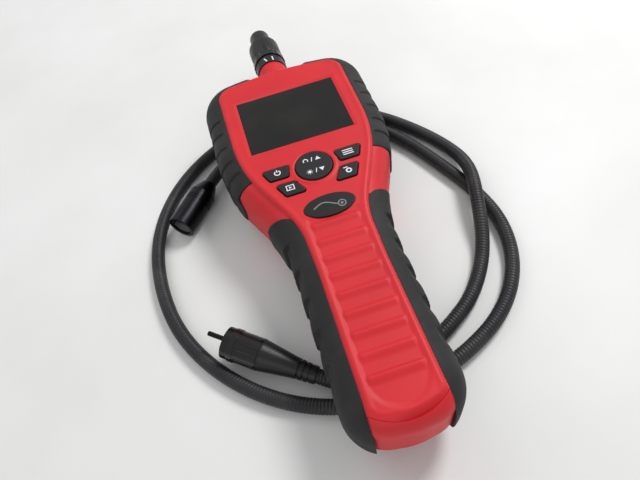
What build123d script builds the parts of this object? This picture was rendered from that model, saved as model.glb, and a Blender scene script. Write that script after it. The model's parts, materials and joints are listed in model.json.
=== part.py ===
from build123d import *
import math
import os

os.makedirs("parts", exist_ok=True)

# Inspection camera: a handset lying face up on the coil of its own gooseneck probe.
# Handset coordinates: x to the right, y along the handle towards the probe socket, z up.
# Their x and y start at the middle of the screen; SHIFT_X and SHIFT_Y move all to the frame.

# ---------------------------------------------------------------- driving dimensions, mm
SHIFT_X = 20.2
SHIFT_Y = 39.5

CABLE_D = 8.0
REST_GAP = 0.15
BACK_Z = CABLE_D + REST_GAP
BACK_HALF = 21.0
FRONT_HALF = 20.0
PART_Z = BACK_Z + BACK_HALF
FACE_Z = PART_Z + FRONT_HALF

RUBBER = 2.0
WALL = 2.5
SHELL_TOP = FACE_Z - 2.2
SHELL_R = 14.0
SHELL_BACK_R = 14.0
WAIST_INSET = 0.8
RUBBER_TOP = FACE_Z - 0.8
CAVITY_TOP = SHELL_TOP - WALL
GAP = 0.15

WINDOW = (61.8, 46.4)
WINDOW_DEPTH = 1.2
LENS_T = 1.5

KEY_PROUD = 0.4
ROCKER_PROUD = 0.6
KEY_GAP = 0.3
KEY_TRAVEL = 0.8
FLANGE_TOP = FACE_Z - 5.6
FLANGE_T = 0.8
MAT_TOP = FLANGE_TOP - FLANGE_T - KEY_TRAVEL - 0.15
ROCKER = (0.0, -45.8)
ROCKER_R = 10.4
ROCKER_HOLE_R = 10.9
ROCKER_PIVOT_Z = FACE_Z - 5.6
UPPER_KEY = [(12.8, -39.6), (28.7, -39.6), (25.4, -47.9), (14.9, -47.9)]
LOWER_KEY = [(13.1, -52.0), (23.6, -52.0), (19.5, -61.2), (8.1, -61.2)]

BADGE = (0.0, -74.9)
BADGE_RX = 14.0
BADGE_RY = 7.2

RIDGE_COUNT = 9
RIDGE_Y = -86.0
RIDGE_PITCH = 10.4
PANEL_HALF = 14.3

SEAM_R = 27.0
SEAM_Y = -188.5
CAP_HALF = 17.5
BOX_END_Y = -181.5
BOX_Z = 28.4
BOX_X = 34.0
BOX_H = 31.7
CELL_R = 7.1
CELL_LEN = 50.0
CELL_PITCH = 14.6
PASSAGE = (16.0, 14.9)
SPIGOT = (15.7, 14.6)
SPIGOT_HOLE = (14.2, 13.3)
TRAY = (15.2, 14.4)

NECK_R = 10.0
NECK_END_Y = 68.3
SOCKET_R = 7.0
SPIGOT_R = 7.4
SPIGOT_BORE_R = 5.6
SPIGOT_Y = 76.3
SPIGOT_END_Y = 89.0
CAP_BORE_R = 7.55
RING_SEAT_R = 9.4
RUNNING = 0.07

HEAD_R = 8.5
HEAD_LEN = 36.0
PLUG_LEN = 52.0
PIN_COUNT = 8

# The cable's route in handset coordinates, from the camera head's tail to the plug's tail.
# It leaves the head, passes under the screen, goes round the handset nearly twice and
# climbs over its own first turn beside the handle.
OVER = 12.6
ROUTE = [
    (-64.0, 3.2, 8.5), (-57.6, 10.9, 8.5), (-45.5, 25.5, 4), (-27, 38, 4),
    (3, 42.0, 4), (34.5, 32.5, 4), (56.5, 12.5, 4), (71, -10, 4),
    (82, -36, 4), (92, -62, 4), (96, -90, 4), (88.5, -118, 4),
    (70.5, -141, 4), (43, -156, 4), (10, -164.5, 4), (-23, -163.5, 4),
    (-54, -150, 4), (-80.5, -126, 4), (-99, -95, 4), (-106, -61, 4),
    (-104.5, -27, 4), (-92.5, 3, 4), (-71, 28, 4), (-40, 46.5, 4),
    (-5, 53.5, 4), (31, 45.5, 4), (60, 25, 4), (80.5, -1, 4),
    (93.5, -25, 4), (93.5, -51, OVER), (86.5, -75, OVER), (78, -103, 4),
    (60, -127, 4), (41, -139.5, 4), (23.2, -147.8, 4), (10, -152.5, 4),
    (-0.8, -154.4, 4), (-9.8, -154.0, 4), (-18.5, -151.9, 4.12), (-26.6, -147.9, 4.85),
    (-32.9, -143.0, 5.7),
]


# ---------------------------------------------------------------- helpers
def export(shape, name):
    """Move a piece from handset coordinates into the frame and write it."""
    placed = Pos(SHIFT_X, SHIFT_Y, 0) * shape
    export_step(placed, f"parts/{name}.step")


def rod(r, z0, z1):
    return Pos(0, 0, (z0 + z1) / 2) * Cylinder(r, z1 - z0)


def tube(r_out, r_in, z0, z1):
    return rod(r_out, z0, z1) - rod(r_in, z0 - 1, z1 + 1)


def cone(r0, r1, z0, z1):
    return Pos(0, 0, (z0 + z1) / 2) * Cone(r0, r1, z1 - z0)


def block(x0, x1, y0, y1, z0, z1):
    return Pos((x0 + x1) / 2, (y0 + y1) / 2, (z0 + z1) / 2) * Box(x1 - x0, y1 - y0, z1 - z0)


def slab(face, z0, z1):
    return extrude(Pos(0, 0, z0) * face, amount=z1 - z0)


def along_y(shape):
    """Turn a piece made along z so that it lies along the socket's axis."""
    return Pos(0, 0, PART_Z) * Rot(-90, 0, 0) * shape


def mirrored(shape):
    return mirror(shape, Plane.YZ)


def rounded_polygon(points, radii):
    return make_face(FilletPolyline(*points, radius=radii, close=True))


def symmetric_outline(apex_top, side, apex_bottom, r_top, r_side, r_bottom):
    """A closed outline from a top apex, the right-hand corners and a bottom apex."""
    left = [(-x, y) for x, y in reversed(side)]
    points = [apex_top, *side, apex_bottom, *left]
    radii = [r_top, *r_side, r_bottom, *reversed(r_side)]
    return rounded_polygon(points, radii)


# ---------------------------------------------------------------- the handset's outer form
def handset_outline(inset):
    side = [(53.0, 50.5), (52.5, -29.0), (28.8, -81.0), (28.5, -190.2)]
    face = symmetric_outline((0, 58.3), side, (0, -195.0), 110, [23, 100, 110, 21], 40)
    return offset(face, amount=-inset) if inset else face


def rounded_body(inset, z0, z1, r_back, r_front):
    body = slab(handset_outline(inset), z0, z1)
    body = fillet(body.edges().group_by(Axis.Z)[-1], r_front)
    return fillet(body.edges().group_by(Axis.Z)[0], r_back)


def rubber_form():
    return rounded_body(0, BACK_Z + 1.0, RUBBER_TOP, 13, 16)


def shell_form():
    return rounded_body(RUBBER, BACK_Z, SHELL_TOP, SHELL_BACK_R, SHELL_R)


def inner_form():
    inset = RUBBER + WALL
    return rounded_body(inset, BACK_Z + WALL, CAVITY_TOP, SHELL_BACK_R - WALL, SHELL_R - WALL)


def cavity_form():
    return inner_form() & block(-60, 60, BOX_END_Y, 60, 0, 60)


def plateau():
    """The raised face; its end rounds down with the end of the handle."""
    side = [(41.0, 41.0), (40.4, -32.0), (18.2, -82.0), (17.3, -112.0), (17.8, -194.0)]
    face = symmetric_outline((0, 46.0), side, (0, -195.0), 110, [11, 100, 60, 200, 3], 40)
    raised = slab(face, PART_Z, FACE_Z)
    raised = fillet(raised.edges().group_by(Axis.Z)[-1], 1.8)
    return raised & rounded_body(RUBBER, BACK_Z, FACE_Z, 10, 9)


WAIST = [(20, -42.7), (44.4, -42.7), (44.0, -46.1), (62, -46.1), (62, -67.4),
         (36.0, -67.4), (31.0, -69.9), (26.2, -71.9), (20, -75.5)]


def waist():
    """The shells stand nearly level with the rubber between the bumpers and the grips."""
    flush = rounded_body(WAIST_INSET, BACK_Z, SHELL_TOP + 0.6, SHELL_BACK_R, SHELL_R + 1)
    right = flush & slab(make_face(Polyline(*WAIST, close=True)), 0, 60)
    return right + mirrored(right)


def neck():
    barrel = tube(NECK_R, SOCKET_R + 0.1, 46, NECK_END_Y)
    flare = cone(15, NECK_R, 53, 61) - rod(SOCKET_R + 0.1, 40, 65)
    return along_y(barrel + flare)


def socket_way():
    return along_y(rod(SOCKET_R + 0.1, 44, 70))


def cap_zone(half, radius):
    """The end of the handle beyond the curved seam."""
    end = block(-half, half, -200, -178, 0, 60)
    bite = Pos(0, SEAM_Y + SEAM_R, 30) * Cylinder(radius, 80)
    return end - bite


def cap_passage():
    x, z = PASSAGE
    return block(-x, x, -200, -178, BOX_Z - z, BOX_Z + z)


# ---------------------------------------------------------------- shells and rubber
SCREWS = [(-38, 22), (38, 22), (-33.5, -33), (33.5, -33), (-14, -104), (14, -104)]


def key_face(points, side, grow):
    face = rounded_polygon(points, 1.2)
    face = offset(face, amount=grow) if grow else face
    return face if side > 0 else mirrored(face)


KEYS = {
    "power_key": (UPPER_KEY, -1),
    "playback_key": (LOWER_KEY, -1),
    "menu_key": (UPPER_KEY, 1),
    "shutter_key": (LOWER_KEY, 1),
}


def window_opening():
    width, height = WINDOW
    opening = block(-width / 2 - 0.05, width / 2 + 0.05, -height / 2 - 0.05, height / 2 + 0.05,
                    FACE_Z - WINDOW_DEPTH - LENS_T - 0.05, FACE_Z + 1)
    ledge = block(-width / 2 + 1.4, width / 2 - 1.4, -height / 2 + 1.4, height / 2 - 1.4,
                  CAVITY_TOP - 1, FACE_Z)
    wide = Pos(0, 0, FACE_Z) * Rectangle(width + 3.2, height + 3.2)
    narrow = Pos(0, 0, FACE_Z - WINDOW_DEPTH) * Rectangle(width + 0.6, height + 0.6)
    return opening + ledge + loft([narrow, wide])


def ridge_cuts():
    cuts = []
    for i in range(RIDGE_COUNT):
        y = RIDGE_Y - i * RIDGE_PITCH
        cuts.append(Pos(0, y, FACE_Z + 4.3) * Rot(0, 90, 0) * Cylinder(5, 2 * PANEL_HALF))
    return cuts


def front_shell():
    form = (shell_form() + plateau() + waist() + neck()) & block(-60, 60, -210, 80, PART_Z, 70)
    form -= cavity_form()
    form -= socket_way()
    ring = Pos(*ROCKER, 0) * tube(12.3, ROCKER_HOLE_R, FACE_Z - 1, FACE_Z + 0.5)
    form += ring
    form -= Pos(*ROCKER, 0) * rod(ROCKER_HOLE_R, CAVITY_TOP - 2, FACE_Z + 2)
    for points, side in KEYS.values():
        form -= slab(key_face(points, side, KEY_GAP), CAVITY_TOP - 2, FACE_Z + 2)
    form -= window_opening()
    form -= slab(Pos(*BADGE) * Ellipse(BADGE_RX, BADGE_RY), FACE_Z - 0.9, FACE_Z + 1)
    for cut in ridge_cuts():
        form -= cut
    for x, y in SCREWS:
        form += Pos(x, y, 0) * rod(3.4, PART_Z, CAVITY_TOP + 1)
        form -= Pos(x, y, 0) * rod(1.55, PART_Z - 1, PART_Z + 9)
    form -= cap_zone(CAP_HALF + 0.1, SEAM_R)
    return form - cap_passage()


def back_shell():
    outer = shell_form()
    form = (outer + waist() + neck()) & block(-60, 60, -210, 80, 0, PART_Z)
    form -= cavity_form()
    form -= socket_way()
    for x, y in SCREWS:
        form += (Pos(x, y, 0) * rod(4.2, BACK_Z + 1, PART_Z)) & outer
        form -= Pos(x, y, 0) * rod(1.7, BACK_Z - 1, PART_Z + 1)
        form -= Pos(x, y, 0) * rod(2.9, BACK_Z - 1, BACK_Z + 4.75)
    form -= cap_zone(CAP_HALF + 0.1, SEAM_R)
    return form - cap_passage()


def housing_screws():
    screws = []
    for x, y in SCREWS:
        head = rod(2.7, BACK_Z + 2.5, BACK_Z + 4.7) - rod(1.1, BACK_Z, BACK_Z + 3.6)
        screws.append(Pos(x, y, 0) * (head + rod(1.5, BACK_Z + 4.5, PART_Z + 8)))
    return Compound(screws)


def rubber_skin():
    """The layer between the rubber's outer form and the shells and raised face."""
    return rubber_form() - shell_form() - plateau()


def bumper(skin):
    """Right-hand head bumper: wraps the corner and side, with cross grooves."""
    region = [(24.5, 35), (24.5, 64), (62, 64), (62, -46.0), (44.1, -46.0), (44.5, -42.6),
              (30, -42.6)]
    piece = skin & slab(make_face(Polyline(*region, close=True)), 0, 60)
    groove_skin = rubber_form() - rounded_body(0.7, BACK_Z + 1.7, RUBBER_TOP - 0.7, 12.3, 15.3)
    for y in (16.5, 5.5, -7, -20, -30.8):
        piece -= groove_skin & block(42.5, 62, y - 0.5, y + 0.5, 0, 60)
    return piece


def grip(skin):
    """Right-hand handle grip with crescent finger notches."""
    region = [(10, -77.5), (22, -75), (26.2, -72.0), (31, -70.0), (36, -67.5), (48, -67.5),
              (48, -200), (CAP_HALF + 0.15, -200), (CAP_HALF + 0.15, -181), (10, -178)]
    piece = skin & slab(make_face(Polyline(*region, close=True)), 0, 60)
    for i in range(5):
        piece -= Pos(30.6, -87 - 16.8 * i, PART_Z + 3) * Cylinder(3.0, 20)
    return piece


# ---------------------------------------------------------------- screen, board and keys
def screen_window():
    width, height = WINDOW
    top = FACE_Z - WINDOW_DEPTH
    pane = block(-width / 2, width / 2, -height / 2, height / 2, top - LENS_T, top)
    return fillet(pane.edges().filter_by(Axis.Z), 0.8)


def display_gasket():
    frame = block(-33, 33, -25, 25, CAVITY_TOP - 1.05, CAVITY_TOP - 0.05)
    return frame - block(-29.5, 29.5, -21.8, 21.8, 0, 60)


def display_module():
    top = CAVITY_TOP - 1.1
    panel = block(-33.8, 33.8, -25.5, 25.5, top - 3.2, top)
    return panel + block(-9, 9, -30, -25.5, top - 3.2, top - 2.4)


def main_board():
    top = CAVITY_TOP - 4.6
    board = block(-33.4, 33.4, -28.5, 36, top - 1.6, top)
    board += block(-27, 27, -66, -28.5, top - 1.6, top)
    for x, y, w, h in ((-18, 10, 14, 14), (14, 12, 10, 10), (6, -12, 12, 8), (-10, -50, 8, 8)):
        board += block(x - w / 2, x + w / 2, y - h / 2, y + h / 2, top - 3.2, top - 1.6)
    return board


def keypad_mat():
    mat = block(-29.8, 29.8, -51, -37, CAVITY_TOP - 4.5, MAT_TOP - 0.5)
    mat += block(-25, 25, -64, -50, CAVITY_TOP - 4.5, MAT_TOP - 0.5)
    for points, side in KEYS.values():
        mat += slab(key_face(points, side, -0.6), MAT_TOP - 1, MAT_TOP)
    for dy in (-6.2, 6.2):
        mat += Pos(ROCKER[0], ROCKER[1] + dy, 0) * rod(2.6, MAT_TOP - 1, MAT_TOP)
    return mat


def push_key(points, side):
    cap = slab(key_face(points, side, 0), FLANGE_TOP - FLANGE_T, FACE_Z + KEY_PROUD)
    cap = fillet(cap.edges().group_by(Axis.Z)[-1], 0.5)
    return cap + slab(key_face(points, side, 0.9), FLANGE_TOP - FLANGE_T, FLANGE_TOP)


def rocker_key():
    cap = rod(ROCKER_R, FLANGE_TOP - FLANGE_T, FACE_Z + ROCKER_PROUD)
    cap = fillet(cap.edges().group_by(Axis.Z)[-1], 0.8)
    cap += rod(11.6, FLANGE_TOP - FLANGE_T, FLANGE_TOP - 0.1)
    cap += Pos(0, 0, ROCKER_PIVOT_Z) * Rot(0, 90, 0) * Cylinder(0.5, 25.2)
    return Pos(*ROCKER, 0) * cap


def badge_plate():
    plate = slab(Ellipse(BADGE_RX - 0.15, BADGE_RY - 0.15), FACE_Z - 0.9, FACE_Z + 0.2)
    return Pos(*BADGE, 0) * fillet(plate.edges().group_by(Axis.Z)[-1], 0.3)


# ---------------------------------------------------------------- batteries and end cap
def battery_box():
    half = BOX_H / 2
    outer = block(-BOX_X / 2, BOX_X / 2, BOX_END_Y, -117.5, BOX_Z - half, BOX_Z + half)
    inner = block(-BOX_X / 2 + 1, BOX_X / 2 - 1, BOX_END_Y - 1, -119, BOX_Z - half + 1,
                  BOX_Z + half - 1)
    return (outer & cavity_form()) - inner


def battery_contacts():
    strips = []
    for x in (-8, 8):
        strips.append(block(x - 4, x + 4, -120.2, -119.1, BOX_Z - 9, BOX_Z + 9))
    return Compound(strips)


def battery_cap():
    outer = (shell_form() + plateau()) & cap_zone(CAP_HALF - 0.05, SEAM_R + GAP)
    x, z = SPIGOT
    hole_x, hole_z = SPIGOT_HOLE
    spigot = block(-x, x, -190, -179, BOX_Z - z, BOX_Z + z)
    spigot -= block(-hole_x, hole_x, -192, -178, BOX_Z - hole_z, BOX_Z + hole_z)
    web = block(-x, x, -190.4, -188.9, BOX_Z - z, BOX_Z + z) & outer
    nail = Pos(0, SEAM_Y - 0.9, FACE_Z - 2.5) * Rot(0, 90, 0) * Cylinder(1.1, 17)
    return outer - inner_form() + spigot + web - nail


def battery_tray():
    x, z = TRAY
    rib = 0.18
    tray = block(-x, x, -178.6, -177.4, BOX_Z - z, BOX_Z + z)
    tray += block(-x, x, -123.2, -122.0, BOX_Z - z, BOX_Z + z)
    tray += block(-rib, rib, -177.6, -123, BOX_Z - z, BOX_Z + z)
    return tray + block(-x, x, -177.6, -123, BOX_Z - rib, BOX_Z + rib)


CELL_PLACES = [(sx * CELL_PITCH / 2, sz * CELL_PITCH / 2) for sx in (-1, 1) for sz in (-1, 1)]


def battery_cells():
    cells = []
    for x, z in CELL_PLACES:
        cell = rod(CELL_R, 0, CELL_LEN - 1) + rod(2.7, CELL_LEN - 2, CELL_LEN)
        cells.append(Pos(x, -176.0, BOX_Z + z) * Rot(-90, 0, 0) * cell)
    return Compound(cells)


def tray_contacts():
    plates = []
    for x, z in CELL_PLACES:
        for y0, y1 in ((-177.3, -176.1), (-125.6, -123.3)):
            plates.append(block(x - 4, x + 4, y0, y1, BOX_Z + z - 4, BOX_Z + z + 4))
    return Compound(plates)


def cap_seal():
    """Flat gasket on the cap, around the spigot."""
    x, z = SPIGOT
    band = block(-x - 0.2, x + 0.2, -181.0, -179.4, BOX_Z - z - 0.2, BOX_Z + z + 0.2)
    return band - block(-x, x, -182, -178, BOX_Z - z, BOX_Z + z)


# ---------------------------------------------------------------- probe socket and dust cap
def socket_body():
    body = tube(SOCKET_R, SPIGOT_BORE_R - 0.2, 40, SPIGOT_Y)
    body += tube(SPIGOT_R, SPIGOT_BORE_R, SPIGOT_Y, SPIGOT_END_Y)
    groove = Pos(0, 0, 80) * Torus(SPIGOT_R - 0.55, 0.62)
    return along_y(body - groove)


def socket_oring():
    return along_y(Pos(0, 0, 80) * Torus(SPIGOT_R - 0.55, 0.6))


def pin_circle(radius, count):
    """Pin places on a circle, leaving the first one free for the guide rod."""
    places = []
    for i in range(1, count):
        angle = 2 * math.pi * i / count
        places.append((radius * math.cos(angle), radius * math.sin(angle)))
    return places


def socket_insert():
    insert = rod(SPIGOT_BORE_R - 0.25, 42, SPIGOT_Y)
    insert -= Pos(0, -3.8, 0) * rod(1.45, 62, SPIGOT_Y + 1)
    for x, y in pin_circle(3.8, PIN_COUNT):
        insert -= Pos(y, -x, 0) * rod(0.5, 40, SPIGOT_Y + 1)
    return along_y(insert)


def socket_contacts():
    pins = []
    for x, y in pin_circle(3.8, PIN_COUNT):
        pins.append(along_y(Pos(y, -x, 0) * rod(0.45, 38, SPIGOT_Y - 0.1)))
    return Compound(pins)


def socket_nut():
    nut = extrude(Pos(0, 0, 42) * RegularPolygon(10.8, 6), amount=4)
    return along_y(nut - rod(SOCKET_R + 0.05, 40, 48))


def socket_collar():
    collar = tube(10.6, SOCKET_R + 0.05, NECK_END_Y + 0.1, SPIGOT_Y - 0.05)
    collar = along_y(fillet(collar.edges().filter_by(GeomType.CIRCLE).group_by(Axis.Z)[-1], 0.6))
    for mark in mark_blocks():
        collar -= mark
    return collar


def mark_blocks():
    """The straight and the slanted index mark, let into the collar's front."""
    straight = block(-0.45, 0.45, 69.4, 73.8, PART_Z + 9.6, PART_Z + 11)
    straight = Rot(0, 14, 0) * Pos(0, 0, -PART_Z) * straight
    slanted = Pos(0, 71.6, 0) * Rot(0, 0, 20) * Pos(0, -71.6, -PART_Z) * block(
        -0.45, 0.45, 69.4, 73.8, PART_Z + 9.6, PART_Z + 11)
    slanted = Rot(0, -14, 0) * slanted
    return [Pos(0, 0, PART_Z) * straight, Pos(0, 0, PART_Z) * slanted]


def index_marks():
    collar = along_y(tube(10.6, SOCKET_R + 0.05, NECK_END_Y + 0.1, SPIGOT_Y - 0.05))
    return Compound([mark & collar for mark in mark_blocks()])


def dust_cap():
    seat = rod(RING_SEAT_R, 76.9, 81.6) + rod(RING_SEAT_R + 0.4, 76.9, 77.5)
    barrel = rod(10.9, 81.5, 98) + cone(10.9, 7.2, 98, 102) + rod(7.2, 102, 113.4)
    barrel = fillet(barrel.edges().group_by(Axis.Z)[-1], 1.6)
    cap = seat + barrel - rod(CAP_BORE_R, 70, 91.6)
    for i in range(24):
        cap -= Rot(0, 0, 15 * i) * Pos(11.1, 0, 90) * Cylinder(0.6, 15)
    return along_y(cap)


def dust_cap_ring():
    ring = tube(11.3, RING_SEAT_R + RUNNING, 76.7, 81.4)
    ring -= rod(RING_SEAT_R + 0.4 + RUNNING, 76.6, 77.6)
    for i in range(12):
        ring -= Rot(0, 0, 30 * i) * Pos(12.3, 0, 79) * Cylinder(1.3, 8)
    return along_y(ring)


def dust_cap_seal():
    return along_y(tube(CAP_BORE_R - 0.05, 5.7, 90.4, 91.55))


# ---------------------------------------------------------------- probe
HEAD_TAIL = Vector(*ROUTE[0])
HEAD_PLANE = Plane(origin=HEAD_TAIL, x_dir=(0, 0, 1), z_dir=HEAD_TAIL - Vector(*ROUTE[1]))
PLUG_TAIL = Vector(*ROUTE[-1])
PLUG_AXIS = (PLUG_TAIL - Vector(*ROUTE[-2])).normalized()
PLUG_UP = Vector(0, 0, 1) - PLUG_AXIS * PLUG_AXIS.Z
PLUG_PLANE = Plane(origin=PLUG_TAIL, x_dir=PLUG_UP, z_dir=PLUG_AXIS)


def turn_angle(before, corner, after):
    return math.radians((corner - before).get_angle(after - corner))


def route_radii(points):
    """Each arc takes 0.45 of the shorter run beside its corner."""
    radii = []
    for before, corner, after in zip(points, points[1:], points[2:]):
        shorter = min((corner - before).length, (after - corner).length)
        radii.append(0.45 * shorter / math.tan(turn_angle(before, corner, after) / 2))
    return radii


def probe_cable():
    points = [Vector(*p) for p in ROUTE]
    radii = route_radii(points)
    path = FilletPolyline(*points, radius=radii).wire()
    section = Plane(origin=path @ 0, z_dir=path % 0) * Circle(CABLE_D / 2)
    cable = sweep(section, path=path)
    expected = math.pi * (CABLE_D / 2) ** 2 * path.length
    print("cable radii", [round(r, 1) for r in radii])
    print(f"cable length {path.length:.1f} mm, volume {cable.volume:.0f}, "
          f"section times length {expected:.0f}")
    return cable


def camera_head_shell():
    shell = tube(HEAD_R, 7.3, 9, HEAD_LEN) + tube(7.4, 6.4, HEAD_LEN - 0.8, HEAD_LEN)
    shell = fillet(shell.edges().group_by(Axis.Z)[-1].sort_by(SortBy.LENGTH)[-1], 0.6)
    for z in (14, 16):
        shell -= tube(9, HEAD_R - 0.3, z, z + 0.8)
    return HEAD_PLANE * shell


def camera_window():
    return HEAD_PLANE * rod(7.2, HEAD_LEN - 1.85, HEAD_LEN - 0.85)


def led_board():
    return HEAD_PLANE * tube(7.1, 3.4, 31, 32)


def camera_leds():
    leds = []
    for i in range(6):
        lamp = fillet(rod(1.1, 32, 33.6).edges().group_by(Axis.Z)[-1], 0.6)
        leds.append(HEAD_PLANE * Rot(0, 0, 60 * i) * Pos(5.2, 0, 0) * lamp)
    return Compound(leds)


def camera_module():
    return HEAD_PLANE * (rod(3.2, 22, 33.2) + rod(2.4, 33, 33.9))


def head_ferrule():
    ferrule = cone(4.8, HEAD_R, 0, 8.9) + rod(7.25, 8.8, 15)
    ferrule -= Pos(0, 0, 12) * Torus(6.8, 0.57)
    return HEAD_PLANE * (ferrule - rod(1.5, 2, 20))


def head_seal():
    return HEAD_PLANE * Pos(0, 0, 12) * Torus(6.75, 0.52)


def plug_strain_relief():
    boot = cone(4.6, 5.6, 0, 12)
    for z in (3, 6, 9):
        boot -= tube(8, 4.4, z, z + 1)
    return PLUG_PLANE * boot


def plug_body():
    body = cone(5.6, 8.3, 12.02, 30) + rod(8.3, 30, 31)
    body += rod(CAP_BORE_R - RUNNING, 31, 37.9) + rod(CAP_BORE_R + 0.3, 36.4, 37.4)
    return PLUG_PLANE * (body - rod(2, 14, 40))


def plug_lock_ring():
    ring = tube(8.6, CAP_BORE_R, 31.1, 44) + tube(9.0, CAP_BORE_R, 44, 47)
    ring += tube(8.5, CAP_BORE_R, 47, 51)
    ring -= rod(CAP_BORE_R + 0.3 + RUNNING, 36.3, 37.5)
    for i in range(10):
        ring -= Rot(0, 0, 36 * i) * Pos(9.6, 0, 37.6) * Cylinder(1.4, 11)
    for z in (48, 49.4):
        ring -= tube(10, 8.25, z, z + 0.5)
    return PLUG_PLANE * ring


def plug_insert():
    insert = rod(7.3, 38.0, 39.5) + rod(SPIGOT_BORE_R - 0.1, 39.4, 50)
    insert -= Pos(3.8, 0, 0) * rod(1.32, 43.9, 51)
    for x, y in pin_circle(3.8, PIN_COUNT):
        insert -= Pos(x, y, 0) * rod(0.42, 45.9, 51)
    return PLUG_PLANE * insert


def plug_contacts():
    pins = [Pos(x, y, 0) * rod(0.4, 46, 50.8) for x, y in pin_circle(3.8, PIN_COUNT)]
    return Compound([PLUG_PLANE * pin for pin in pins])


def plug_key_pin():
    pin = Pos(3.8, 0, 0) * rod(1.3, 44, PLUG_LEN + 9)
    return PLUG_PLANE * fillet(pin.edges().group_by(Axis.Z)[-1], 0.5)


def plug_seal():
    return PLUG_PLANE * Pos(0, 0, 40.15) * Torus(6.3, 0.6)


# ---------------------------------------------------------------- write the parts
SKIN = rubber_skin()
RIGHT_BUMPER = bumper(SKIN)
RIGHT_GRIP = grip(SKIN)

export(front_shell(), "front_shell")
export(back_shell(), "back_shell")
export(housing_screws(), "housing_screws")
export(RIGHT_BUMPER, "bumper_right")
export(mirrored(RIGHT_BUMPER), "bumper_left")
export(RIGHT_GRIP, "grip_right")
export(mirrored(RIGHT_GRIP), "grip_left")

export(screen_window(), "screen_window")
export(display_gasket(), "display_gasket")
export(display_module(), "display_module")
export(main_board(), "main_board")
export(keypad_mat(), "keypad_mat")
for key_name, (key_points, key_side) in KEYS.items():
    export(push_key(key_points, key_side), key_name)
export(rocker_key(), "rocker_key")
export(badge_plate(), "badge_plate")

export(battery_box(), "battery_box")
export(battery_contacts(), "battery_contacts")
export(battery_cap(), "battery_cap")
export(battery_tray(), "battery_tray")
export(battery_cells(), "battery_cells")
export(tray_contacts(), "tray_contacts")
export(cap_seal(), "cap_seal")

export(socket_body(), "socket_body")
export(socket_oring(), "socket_oring")
export(socket_insert(), "socket_insert")
export(socket_contacts(), "socket_contacts")
export(socket_nut(), "socket_nut")
export(socket_collar(), "socket_collar")
export(index_marks(), "index_marks")
export(dust_cap(), "dust_cap")
export(dust_cap_ring(), "dust_cap_ring")
export(dust_cap_seal(), "dust_cap_seal")

export(probe_cable(), "probe_cable")
export(camera_head_shell(), "camera_head_shell")
export(camera_window(), "camera_window")
export(led_board(), "led_board")
export(camera_leds(), "camera_leds")
export(camera_module(), "camera_module")
export(head_ferrule(), "head_ferrule")
export(head_seal(), "head_seal")
export(plug_strain_relief(), "plug_strain_relief")
export(plug_body(), "plug_body")
export(plug_lock_ring(), "plug_lock_ring")
export(plug_insert(), "plug_insert")
export(plug_contacts(), "plug_contacts")
export(plug_key_pin(), "plug_key_pin")
export(plug_seal(), "plug_seal")
print("head axis", HEAD_PLANE.z_dir, "plug axis", PLUG_AXIS)
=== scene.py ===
import bpy
import bmesh
import json
import math
import numpy as np
from mathutils import Matrix, Vector


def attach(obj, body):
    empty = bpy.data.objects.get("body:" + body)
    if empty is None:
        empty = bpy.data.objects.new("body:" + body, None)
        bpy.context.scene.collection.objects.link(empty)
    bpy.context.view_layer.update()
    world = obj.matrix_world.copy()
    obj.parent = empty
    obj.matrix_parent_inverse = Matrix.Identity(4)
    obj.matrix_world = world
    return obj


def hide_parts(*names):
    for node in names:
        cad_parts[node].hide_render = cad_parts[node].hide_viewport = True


# An inspection camera: the handset lies face up on the coil of its own gooseneck probe.
# Sizes are in millimetres, in handset coordinates: x and y start at the middle of the
# screen, and z is the height above the table. to_frame() turns them into the frame's metres.

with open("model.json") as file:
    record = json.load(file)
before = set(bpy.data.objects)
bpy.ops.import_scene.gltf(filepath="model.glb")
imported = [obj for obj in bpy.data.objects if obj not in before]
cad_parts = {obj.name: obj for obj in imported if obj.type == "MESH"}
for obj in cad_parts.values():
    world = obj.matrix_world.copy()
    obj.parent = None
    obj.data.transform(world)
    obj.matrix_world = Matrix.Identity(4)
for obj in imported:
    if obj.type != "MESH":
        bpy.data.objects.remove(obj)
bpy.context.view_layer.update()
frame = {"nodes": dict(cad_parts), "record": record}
nodes = frame["nodes"]

SOCKET = next(m for m in frame["record"]["mounts"] if m["name"] == "probe_socket")
MOUNT_Y = 88.5
SHIFT_X = 1000 * SOCKET["pos_m"][0]
SHIFT_Y = 1000 * SOCKET["pos_m"][1] - MOUNT_Y
PART_Z = 1000 * SOCKET["pos_m"][2]
FACE_Z = PART_Z + 20.0
CAP_ZONE_TOP = 60
BACK_Z = PART_Z - 21.0
RUBBER = 2.0
WALL = 2.5
SHELL_TOP = FACE_Z - 2.2
RUBBER_TOP = FACE_Z - 0.8
CAVITY_TOP = SHELL_TOP - WALL
SHELL_R = 14.0
RUBBER_R = 16.0
BACK_SHELL_R = 14.0
BACK_RUBBER_R = 13.0
END_R = 10.0
CAVITY_R = 11.5
WAIST_INSET = 0.8
PLATEAU_R = 2.8
SEAM_R = 27.0
SEAM_CENTRE_Y = -161.5
CAP_HALF = 17.5
CABLE_D = 8.0
GROOVE_PITCH = 1.75
GROOVE_DEPTH = 0.3
RINGS_PER_GROOVE = 7

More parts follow.
